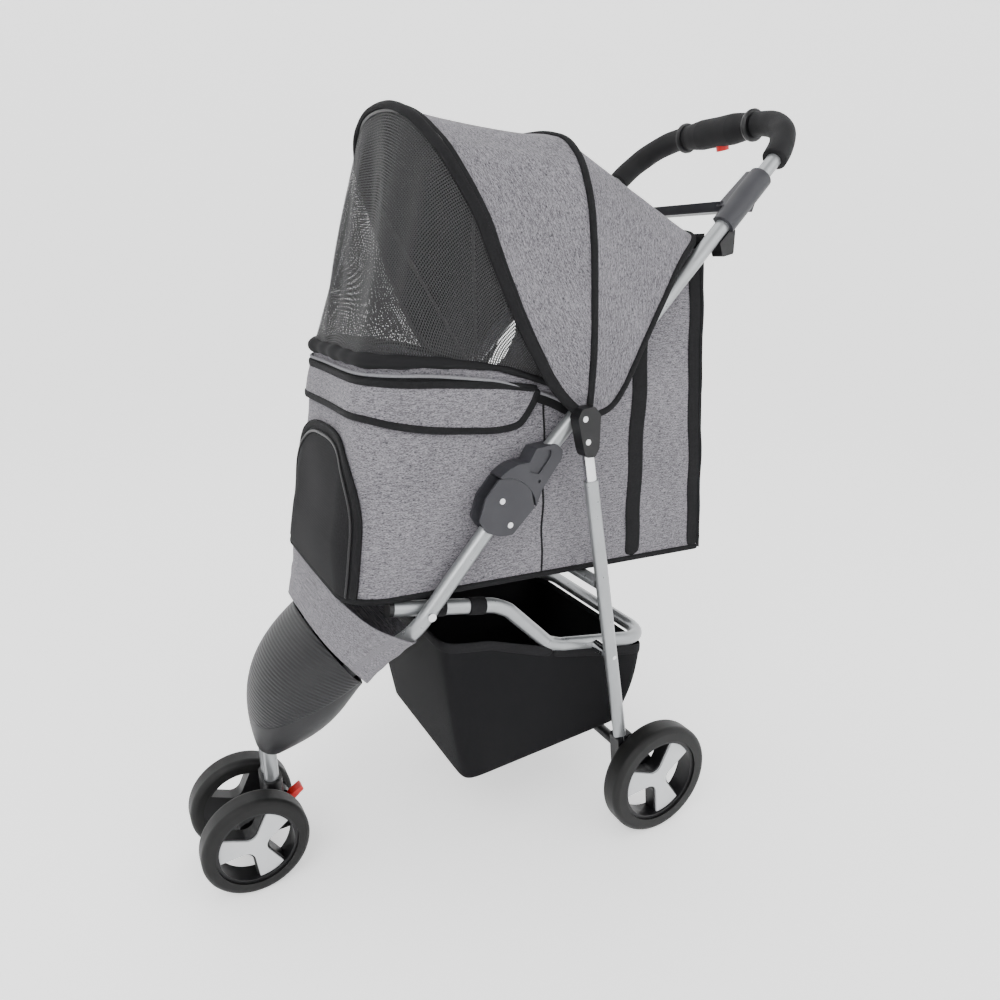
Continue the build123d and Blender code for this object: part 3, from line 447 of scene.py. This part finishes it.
def wallTape(name, s, z, wide, high, off=0.0005, finish=None, square=0.6):
    path, out = onWall(s, z, off)
    return tape(name, path, out, wide, high, finish or binding, "base_frame", square)


# flap over the front: from the rim band down to its bound lower edge
flap = {"reachY": 0.004, "topZ": 0.655, "thick": 0.0014, "off": 0.0012,
        "lowY": (-0.26, -0.19, -0.165, -0.120, -0.045, -0.012, 0.004),
        "lowZ": (0.624, 0.618, 0.612, 0.604, 0.596, 0.599, 0.628)}
share = np.linspace(-1, 1, 260)
sFlap = share * sAt(flap["reachY"], 0.62)
yFlap = wrap(sFlap, 0.62)[:, 1]
lowZ = np.interp(yFlap, flap["lowY"], flap["lowZ"])
topZ = np.interp(yFlap, (-0.2, -0.13, -0.043, 0.01), (0.658, 0.655, 0.648, 0.639))
v = np.linspace(0, 1, 16)[None, :]
zFlap = lowZ[:, None] + v * (topZ - lowZ)[:, None]
sGrid = np.repeat(sFlap[:, None], 16, 1)
puff = 0.0022 * np.sin(math.pi * np.clip(1 - v, 0, 1) * 0.5) + 0 * sGrid
flapPiece = twoSided("front_flap", wrap(sGrid, zFlap, flap["off"] + flap["thick"] + puff),
                     wrap(sGrid, zFlap, flap["off"] + puff), np.stack([sGrid, zFlap + 0.3], -1),
                     finishes["fabric_melange"], "base_frame")
edgeS = np.concatenate([[sFlap[0]], sFlap, [sFlap[-1]]])
edgeZ = np.concatenate([[topZ[0]], lowZ, [topZ[-1]]])
line = smoothLine(np.stack([edgeS, edgeZ], -1), 300, 2, 4)
wallTape("flap_binding", line[:, 0], line[:, 1], 0.0085, 0.0030, 0.0045)
wallTape("flap_top_binding", sFlap, topZ, 0.0085, 0.0030, 0.0035)
print("flap made")

# rim band: soft black roll round the front of the opening, thinner towards the hubs
def rimLine(drop=0.0):  # along the side's top line to the hub on both sides, level round the nose
    sSide = np.linspace(0.0, sAt(0.070, 0.615), 150)
    zSide = np.full(150, 0.677)
    for _ in range(10):
        zSide = np.interp(wrap(sSide, zSide)[:, 1], (-0.13, -0.043, 0.030, 0.075), (0.678, 0.666, 0.642, 0.618))
    half = np.stack([sSide, zSide - drop], -1)
    return smoothLine(np.concatenate([half[::-1], half[1:] * [-1, 1]]), 300, 2, 5)


rim = rimLine()
path, out = onWall(rim[:, 0], rim[:, 1], 0.001)
fat = 0.0042 + 0.0042 * np.exp(-(rim[:, 0] / 0.20) ** 6)
lump = 1 + 0.08 * np.sin(rim[:, 0] * 140) + 0.05 * np.sin(rim[:, 0] * 63 + 1)
t = directions(path)
rimRoll = swept("rim_roll", path + [0, 0, 0.002], np.cross(t, [0, 0, 1.0]), np.tile([0, 0, 1.0], (300, 1)),
                fat * lump, fat * lump, doorMesh, "base_frame", 16)
low = rimLine(0.0125)
wallTape("rim_piping", low[:, 0], low[:, 1], 0.0040, 0.0040, 0.0030, piping, 1.0)
low = rimLine(0.0185)
wallTape("rim_band", low[:, 0], low[:, 1], 0.0120, 0.0018, 0.0012)

# black mesh door in the nose, with its bound arch and its zip
door = {"halfWide": 0.131, "footZ": 0.414, "high": 0.176, "power": 2.7}
sDoor = np.linspace(-1, 1, 121)
rise = door["high"] * (1 - abs(sDoor) ** door["power"]) ** (1 / door["power"])
v = np.linspace(0, 1, 40)[None, :]
zDoor = door["footZ"] + v * rise[:, None]
sGrid = np.repeat(sDoor[:, None] * door["halfWide"], 40, 1)
doorPanel = twoSided("door_mesh", wrap(sGrid, zDoor, 0.0022), wrap(sGrid, zDoor, 0.0008),
                     np.stack([sGrid, zDoor], -1), doorMesh, "base_frame")
archTurn = np.linspace(0, math.pi, 200)
power = 2 / door["power"]
archS = door["halfWide"] * np.sign(np.cos(archTurn)) * abs(np.cos(archTurn)) ** power
archZ = door["footZ"] + door["high"] * np.sin(archTurn).clip(0, None) ** power
line = smoothLine(np.stack([archS, archZ], -1), 260, 1, 3)
wallTape("door_binding", line[:, 0], line[:, 1], 0.0100, 0.0050, 0.0020)
zipZ = door["footZ"] + (line[:, 1] - door["footZ"]) * 0.95
wallTape("door_zip", line[:, 0] * 0.93, zipZ, 0.0035, 0.0030, 0.0030, finishes["plastic_black"], 0.8)

# lower edge binding round the whole cabin
sFoot = np.linspace(-1, 1, 400) * sAt(rearY(0.39), 0.412)
yFoot = wrap(sFoot, 0.412)[:, 1]
wallTape("foot_binding", sFoot, footZ(yFoot) + 0.001, 0.0080, 0.0065, -0.0005, None, 0.9)

# side straps, seams and rear zip bands, both sides
for sideName, sign in (("left", 1), ("right", -1)):
    zLine = np.linspace(0.398, 0.706, 60)
    yLine = np.linspace(0.163, 0.160, 60)
    wallTape("side_webbing_" + sideName, sign * sAt(yLine, zLine), zLine, 0.024, 0.0016, 0.0006)
    zLine = np.linspace(0.396, 0.636, 60)
    wallTape("side_seam_" + sideName, sign * sAt(np.full(60, 0.018), zLine), zLine, 0.0026, 0.0016, 0.0002)
    zLine = np.linspace(0.390, 0.792, 60)
    bandS, rollS = sign * sAt(rearY(zLine) - 0.011, zLine), sign * sAt(rearY(zLine) - 0.001, zLine)
    wallTape("rear_zip_band_" + sideName, bandS, zLine, 0.021, 0.0020, 0.0006)
    wallTape("rear_corner_roll_" + sideName, rollS, zLine, 0.0060, 0.0050, 0.0002, None, 0.9)
print("cabin trim made")

# hood: three arches outside the handle tubes, each a half line of (x, y, z) from the hub to the middle of the top
hood = {
    "hub": (0.080, 0.609), "thick": 0.0012, "columns": 161,
    "front": [(0.1735, 0.052, 0.610), (0.1730, 0.030, 0.628), (0.172, 0.012, 0.648), (0.168, -0.027, 0.717),
              (0.162, -0.052, 0.778), (0.153, -0.070, 0.832), (0.132, -0.099, 0.892), (0.088, -0.114, 0.931),
              (0.040, -0.119, 0.948), (0.0, -0.120, 0.951)],
    "middle": [(0.1740, 0.064, 0.610), (0.1740, 0.068, 0.660), (0.1735, 0.069, 0.703), (0.170, 0.068, 0.790),
               (0.164, 0.066, 0.845), (0.148, 0.063, 0.889), (0.112, 0.066, 0.916), (0.060, 0.069, 0.928),
               (0.0, 0.071, 0.932)],
    "rear": [(0.1745, 0.068, 0.606), (0.1745, 0.096, 0.611), (0.1745, 0.115, 0.635), (0.1745, 0.137, 0.678),
             (0.1745, 0.157, 0.716), (0.1740, 0.176, 0.750), (0.170, 0.196, 0.783), (0.157, 0.228, 0.807),
             (0.126, 0.248, 0.816), (0.060, 0.253, 0.818), (0.0, 0.254, 0.818)],
}


def arch(half, rounds=1):  # the half line and its mirror image, spaced evenly and smoothed
    whole = list(half) + [(-x, y, z) for x, y, z in half[-2::-1]]
    return smoothLine(whole, hood["columns"], rounds, 3)


def between(first, last, rows, dip):
    # straight lines from one edge line to the other, drawn in a little half way, with soft waves
    v = np.linspace(0, 1, rows)[None, :, None]
    grid = first[:, None] * (1 - v) + last[:, None] * v
    n = normals(grid)
    centre = np.array([0, hood["hub"][0], hood["hub"][1]])
    n *= np.sign(((grid - centre) * n).sum(-1, keepdims=True))
    span = np.linalg.norm(last - first, axis=-1)[:, None, None]
    share = np.linspace(0, 1, len(first))[:, None, None]
    low = 0.016 * np.sin(share * 41 + 3 * np.sin(share * 9))
    low = low + 0.010 * np.sin(share * 87 + 5 * v + 2 * np.sin(share * 21))
    hubs = np.exp(-(share / 0.16) ** 2) + np.exp(-((1 - share) / 0.16) ** 2)  # 1 at both hubs
    ripple = (low + 0.030 * np.sin(share * 150 + 3 * v) * hubs) * span * np.sin(math.pi * v)
    return grid + n * (-dip * span * np.sin(math.pi * v) + ripple), n


def hoodSheet(name, first, last, rows, dip, finish, body, node):
    grid, n = between(first, last, rows, dip)
    piece = twoSided(name, grid, grid - n * hood["thick"], lengths(grid), finish, body)
    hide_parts(node)
    return piece, grid, n


frontArch, middleArch, rearEdge = (arch(hood[k]) for k in ("front", "middle", "rear"))
rimTop, out = onWall(rim[:, 0], rim[:, 1], 0.0015)
rimTop = smoothLine(rimTop, 161, 0) + [0, 0, 0.004]
hoodFront, gridA, nA = hoodSheet("hood_front_sheet", frontArch, middleArch, 40, 0.03, finishes["fabric_melange"],
                                 "middle_hood", "canopy_front")
hoodRear, gridB, nB = hoodSheet("hood_rear_sheet", middleArch, rearEdge, 40, 0.02, finishes["fabric_melange"],
                                "base_frame", "canopy_rear")
meshSheet, _, _ = hoodSheet("window_mesh", frontArch, rimTop, 40, 0.01, finishes["mesh_black"],
                                 None, "mesh_window")
linings = {}
for name, grid, n, body, area in (("hood_front_lining", gridA, nA, "middle_hood", 0.135),
                                  ("hood_rear_lining", gridB, nB, "base_frame", 0.10)):
    inside = twoSided(name, grid - n * 0.0020, grid - n * 0.0030, lengths(grid), lining, body)
    linings[name] = inside


def archTape(name, line, wide, high, body, square=0.7, lift=0.0):  # tape along an arch, facing away from the cabin
    out = line - np.array([0, 0.03, 0.60])
    out /= np.linalg.norm(out, axis=1, keepdims=True)
    return tape(name, line + lift * out, out, wide, high, binding, body, square)


archTape("front_bow_binding", smoothLine(frontArch, 220, 0), 0.0130, 0.0075, "front_hood", 0.9)
archTape("front_bow_piping", smoothLine(gridA[:, 2], 220, 0), 0.0100, 0.0030, "front_hood", 0.7, 0.001)
archTape("middle_bow_binding", smoothLine(middleArch, 220, 0), 0.0095, 0.0070, "middle_hood", 0.9)
archTape("rear_edge_binding", smoothLine(rearEdge, 220, 0), 0.0080, 0.0055, "base_frame", 0.8)
print("hood made")

# sleeve from under the cabin to the toe cap: rounded sections that narrow downwards, with level folds
sleeve = {"top": ((-0.234, 0.404), (-0.152, 0.352), 0.171), "low": ((-0.257, 0.354), (-0.198, 0.274), 0.105)}
turn = np.linspace(0, math.tau, 160, endpoint=False)
c, s = np.cos(turn), np.sin(turn)
v = np.linspace(0, 1, 40)[:, None]


def sleeveGrid(inset):
    ends = []
    for (y0, z0), (y1, z1), half in (sleeve["top"], sleeve["low"]):
        power = np.where(s > 0, 0.62, 0.36)
        x = (half - inset) * np.sign(c) * abs(c) ** power
        depth = -np.sign(s) * abs(s) ** np.where(s > 0, 0.62, 0.5)
        run = math.hypot(y1 - y0, z1 - z0)
        share = 0.5 + 0.5 * depth * (1 - 2 * inset / run)
        ends.append(np.stack([x, y0 + (y1 - y0) * share, z0 + (z1 - z0) * share], -1))
    grid = ends[0][None] * (1 - v[..., None]) + ends[1][None] * v[..., None]
    middle = grid.mean(1, keepdims=True)
    wave = 0.6 * np.sin(v * 19 + 2.2 * np.cos(turn)) + 0.5 * np.sin(v * 9 + 3 * np.sin(turn))
    swell = (0.010 * wave - 0.02) * np.sin(math.pi * v)
    return middle + (grid - middle) * (1 + swell[..., None])


grid = sleeveGrid(0.0)
uv = np.stack([np.repeat(turn[None] * 0.075, 40, 0), np.repeat(v * 0.11, 160, 1)], -1)
frontSleeve = twoSided("front_sleeve", grid, sleeveGrid(0.0015), uv, finishes["fabric_melange"], "front_frame",
                       True)
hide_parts("front_gaiter")

# storage basket: walls down from the rim line, then the floor drawn in to the middle
basket = {"rim": ((-0.122, 0.330), (-0.004, 0.312), (0.040, 0.283), (0.197, 0.247)), "halfTop": 0.1465,
          "halfLow": 0.134, "foot": ((-0.090, 0.118), (0.168, 0.134)), "thick": 0.0016}


def basketGrid(inset):
    turn = np.linspace(0, math.tau, 400, endpoint=False)
    c, s = np.cos(turn), np.sin(turn)
    cx, sy = np.sign(c) * abs(c) ** 0.12, np.sign(s) * abs(s) ** 0.12
    v = np.linspace(0, 1, 70)[:, None]
    wall, floor = np.clip(v / 0.7, 0, 1), np.clip((v - 0.7) / 0.3, 0, 1)
    (rimY, rimZ), (footY, lowZ) = zip(*basket["rim"]), zip(*basket["foot"])
    y0 = rimY[0] + wall * (footY[0] - rimY[0]) + inset
    y1 = rimY[-1] + wall ** 1.8 * (footY[1] - rimY[-1]) - inset
    half = basket["halfTop"] - wall * (basket["halfTop"] - basket["halfLow"]) - inset
    y = (y0 + y1) / 2 + (y1 - y0) / 2 * sy
    top = np.interp(y, rimY, rimZ)
    low = np.interp(y, footY, lowZ) + inset
    z = top + (low - top) * wall
    sag = 0.006 * np.sin(math.pi * wall) * np.sin(3 * turn + 0.7)
    x = (half + sag) * cx
    shrink = 1 - floor
    return np.stack([x * shrink, (y0 + y1) / 2 + (y - (y0 + y1) / 2) * shrink, z - 0.003 * np.sin(math.pi * floor)], -1)


outer = basketGrid(0.0)
basketBag = twoSided("storage_basket", outer, basketGrid(basket["thick"]), lengths(outer), finishes["fabric_black"],
                     "base_frame", True)
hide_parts("basket")
rimPath = smoothLine(np.concatenate([outer[0], outer[0][:1]]), 240, 1, 1)
tape("basket_hem", rimPath, (rimPath - rimPath.mean(0)) * [1, 1, 0], 0.014, 0.0030, binding, "base_frame")
print("sleeve and basket made")

# foam sleeves on the handle: round tubes along the bend, a little uneven
handle = {"foot": (-0.0513, 0.500), "slope": 45.36, "long": 0.646, "bend": 0.088, "x": 0.160, "start": 0.566,
          "gripEnd": 0.0702}  # the sleeve starts within the bend
a = math.radians(handle["slope"])
first = math.asin((handle["start"] - handle["long"] + handle["bend"]) / handle["bend"])
turn = np.linspace(first, math.pi / 2, 60)
run = handle["long"] - handle["bend"] + handle["bend"] * np.sin(turn)
x = handle["x"] - handle["bend"] + handle["bend"] * np.cos(turn)
run = np.append(run, handle["long"])
x = np.append(x, handle["gripEnd"])
for sideName, sign in (("left", 1), ("right", -1)):
    path = np.stack([sign * x, handle["foot"][0] + run * math.cos(a), handle["foot"][1] + run * math.sin(a)], -1)
    path = smoothLine(path, 120, 0)
    t = directions(path)
    up = np.tile([0, -math.sin(a), math.cos(a)], (120, 1))
    fat = 0.0160 + 0.0002 * np.sin(np.linspace(0, 19, 120))
    foam = swept("foam_sleeve_" + sideName, path, np.cross(t, up), up, fat, fat, finishes["foam_black"], "handle",
                 32)
    if sign > 0:
        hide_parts("handle_foam")
print("foam sleeves made")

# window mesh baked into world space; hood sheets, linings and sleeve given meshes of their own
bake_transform(meshSheet)
for piece in (hoodFront, linings["hood_front_lining"]):
    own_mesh(piece)
for piece in (hoodRear, linings["hood_rear_lining"]):
    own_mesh(piece)
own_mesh(frontSleeve)

# floor, light and camera
floorMaterial = Finish("pale floor", Roughness=0.9, Emission_Color=(1, 1, 1, 1), Emission_Strength=0.6)
floorMaterial.colour(floorMaterial.noise((1.2, 1.2, 1.2)), (0.88, 0.88, 0.88), (0.9, 0.9, 0.9))
r = np.concatenate([np.linspace(0, 4, 5), 4 + 3 * np.sin(np.linspace(0.05, math.pi / 2, 30)), [7, 7]])
lift = np.concatenate([np.zeros(5), 3 - 3 * np.cos(np.linspace(0.05, math.pi / 2, 30)), [5, 9]])
turn = np.linspace(0, math.tau, 96, endpoint=False)
coveGrid = np.stack([r[:, None] * np.cos(turn), r[:, None] * np.sin(turn), lift[:, None] + 0 * turn], -1)
mesh = bpy.data.meshes.new("floor")
coveFaces = gridFaces(np.arange(coveGrid.shape[0] * 96).reshape(-1, 96), True)
mesh.from_pydata(coveGrid.reshape(-1, 3).tolist(), [], coveFaces.tolist())
mesh.polygons.foreach_set("use_smooth", [True] * len(mesh.polygons))
mesh.materials.append(floorMaterial.material)
floorPiece = bpy.data.objects.new("floor", mesh)
bpy.context.collection.objects.link(floorPiece)
world = bpy.data.worlds.new("studio")
bpy.context.scene.world = world
world.use_nodes = True
world.node_tree.nodes["Background"].inputs[0].default_value = (1, 1, 1, 1)
world.node_tree.nodes["Background"].inputs[1].default_value = 0.8


def aim(piece, place, right, up, forward):  # a lamp and a camera look along their own -Z
    rows = np.stack([right, up, -forward], 1).tolist()
    piece.matrix_world = Matrix([[*row, p] for row, p in zip(rows, place)] + [[0, 0, 0, 1]])


def lamp(name, place, target, size, power):
    data = bpy.data.lights.new(name, "AREA")
    data.energy, data.size = power, size
    piece = bpy.data.objects.new(name, data)
    bpy.context.collection.objects.link(piece)
    forward = np.array(target, float) - np.array(place, float)
    forward /= np.linalg.norm(forward)
    right = np.cross(forward, [0, 0, 1.0])
    right /= np.linalg.norm(right)
    aim(piece, place, right, np.cross(right, forward), forward)


lamp("key", (1.6, -1.6, 2.4), (0, 0, 0.5), 1.6, 42)
lamp("fill", (2.2, 1.4, 1.4), (0, 0, 0.5), 2.0, 14)
lamp("top", (-0.4, -0.2, 3.0), (0, 0, 0.4), 2.2, 26)
view = {"place": (0.9021, -0.4598, 0.78385), "yaw": 61.08, "pitch": -17.58, "roll": -0.22, "lens": 27.25}
yaw, pitch, roll = (math.radians(view[k]) for k in ("yaw", "pitch", "roll"))
camera = bpy.data.objects.new("camera", bpy.data.cameras.new("camera"))
bpy.context.collection.objects.link(camera)
camera.data.lens, camera.data.sensor_width = view["lens"], 36.0
forward = np.array([-math.sin(yaw) * math.cos(pitch), math.cos(yaw) * math.cos(pitch), math.sin(pitch)])
right = np.array([math.cos(yaw), math.sin(yaw), 0.0])
up = np.cross(right, forward)
right, up = right * math.cos(roll) + up * math.sin(roll), up * math.cos(roll) - right * math.sin(roll)
aim(camera, view["place"], right, up, forward)
bpy.context.scene.camera = camera
print("stage set")
